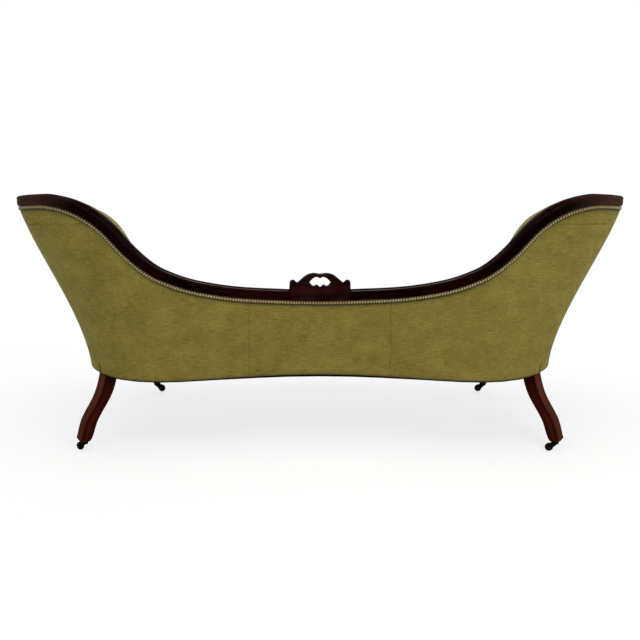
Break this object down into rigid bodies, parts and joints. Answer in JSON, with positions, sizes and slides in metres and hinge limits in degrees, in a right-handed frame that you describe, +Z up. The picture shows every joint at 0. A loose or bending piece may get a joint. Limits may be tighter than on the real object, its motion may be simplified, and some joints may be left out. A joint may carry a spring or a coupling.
{
  "type": "spoon-back settee",
  "caption": "Double spoon-back settee with a show-wood rail, a pierced crest, upholstered seat and wrap-round back, swept legs and castors.",
  "frame": {"origin": "on the floor, under the middle of the settee's overall width and depth", "axes": "+X to the right as seen from the front, along the settee's length; front faces -Y, the back is at +Y; +Z up"},
  "size_m": [1.993, 0.7454, 0.8533],
  "materials": {
    "frame_wood": "raw beech",
    "show_wood": "dark polished mahogany",
    "outside_cloth": "olive ribbed chenille",
    "inside_cloth": "olive ribbed chenille, paler",
    "stuffing": "hair and fibre",
    "gimp": "braided beige gimp",
    "linen": "jute",
    "black_cloth": "black platform cloth",
    "spring_steel": "coppered spring wire",
    "castor_iron": "dark patina",
    "castor_wheel": "dark patina",
    "castor_steel": "dulled"
  },
  "bodies": {
    "settee": {"back_seat_rail": "frame_wood", "end_seat_rail_left": "frame_wood", "end_seat_rail_right": "frame_wood", "front_seat_rail": "show_wood", "seat_cross_rails": "frame_wood", "corner_blocks": "frame_wood", "rear_leg_left": "show_wood", "rear_leg_right": "show_wood", "front_leg_left": "show_wood", "front_leg_right": "show_wood", "back_stays": "frame_wood", "tacking_rails": "frame_wood", "top_rail_centre": "show_wood", "top_rail_left": "show_wood", "top_rail_right": "show_wood", "arm_front_left": "show_wood", "arm_front_right": "show_wood", "crest": "show_wood", "webbing_crosswise": "linen", "webbing_lengthwise": "linen", "seat_springs": "spring_steel", "spring_hessian": "linen", "seat_stuffing": "stuffing", "seat_cover": "inside_cloth", "inside_stuffing_left": "stuffing", "inside_stuffing_centre": "stuffing", "inside_stuffing_right": "stuffing", "inside_cover_left": "inside_cloth", "inside_cover_centre": "inside_cloth", "inside_cover_right": "inside_cloth", "outside_cover_left": "outside_cloth", "outside_cover_centre": "outside_cloth", "outside_cover_right": "outside_cloth", "outside_gimp": "gimp", "inside_gimp": "gimp", "front_gimp": "gimp", "dust_cover": "black_cloth", "castor_screws": "castor_steel", "rear_left_plate": "castor_iron", "rear_right_plate": "castor_iron", "front_left_plate": "castor_iron", "front_right_plate": "castor_iron"},
    "rear_left_horn_body": {"rear_left_horn": "castor_iron", "rear_left_axle": "castor_steel"},
    "rear_left_wheel_body": {"rear_left_wheel": "castor_wheel"},
    "rear_right_horn_body": {"rear_right_horn": "castor_iron", "rear_right_axle": "castor_steel"},
    "rear_right_wheel_body": {"rear_right_wheel": "castor_wheel"},
    "front_left_horn_body": {"front_left_horn": "castor_iron", "front_left_axle": "castor_steel"},
    "front_left_wheel_body": {"front_left_wheel": "castor_wheel"},
    "front_right_horn_body": {"front_right_horn": "castor_iron", "front_right_axle": "castor_steel"},
    "front_right_wheel_body": {"front_right_wheel": "castor_wheel"}
  },
  "joints": [
    {"name": "rear_left_swivel", "type": "hinge", "parent": "settee", "child": "rear_left_horn_body", "pos_m": [-0.77756, 0.30838, 0.03], "axis": [0, 0, 1], "continuous": true},
    {"name": "rear_left_roll", "type": "hinge", "parent": "rear_left_horn_body", "child": "rear_left_wheel_body", "pos_m": [-0.75756, 0.30838, 0.0135], "axis": [0, 1, 0], "continuous": true},
    {"name": "rear_right_swivel", "type": "hinge", "parent": "settee", "child": "rear_right_horn_body", "pos_m": [0.77756, 0.30838, 0.03], "axis": [0, 0, 1], "continuous": true},
    {"name": "rear_right_roll", "type": "hinge", "parent": "rear_right_horn_body", "child": "rear_right_wheel_body", "pos_m": [0.79488, 0.29838, 0.0135], "axis": [0.5, 0.866, 0], "continuous": true},
    {"name": "front_left_swivel", "type": "hinge", "parent": "settee", "child": "front_left_horn_body", "pos_m": [-0.63329, -0.31577, 0.03], "axis": [0, 0, 1], "continuous": true},
    {"name": "front_left_roll", "type": "hinge", "parent": "front_left_horn_body", "child": "front_left_wheel_body", "pos_m": [-0.6136, -0.3123, 0.0135], "axis": [-0.1736, 0.9848, 0], "continuous": true},
    {"name": "front_right_swivel", "type": "hinge", "parent": "settee", "child": "front_right_horn_body", "pos_m": [0.63329, -0.31577, 0.03], "axis": [0, 0, 1], "continuous": true},
    {"name": "front_right_roll", "type": "hinge", "parent": "front_right_horn_body", "child": "front_right_wheel_body", "pos_m": [0.61397, -0.3106, 0.0135], "axis": [-0.2588, -0.9659, 0], "continuous": true}
  ]
}
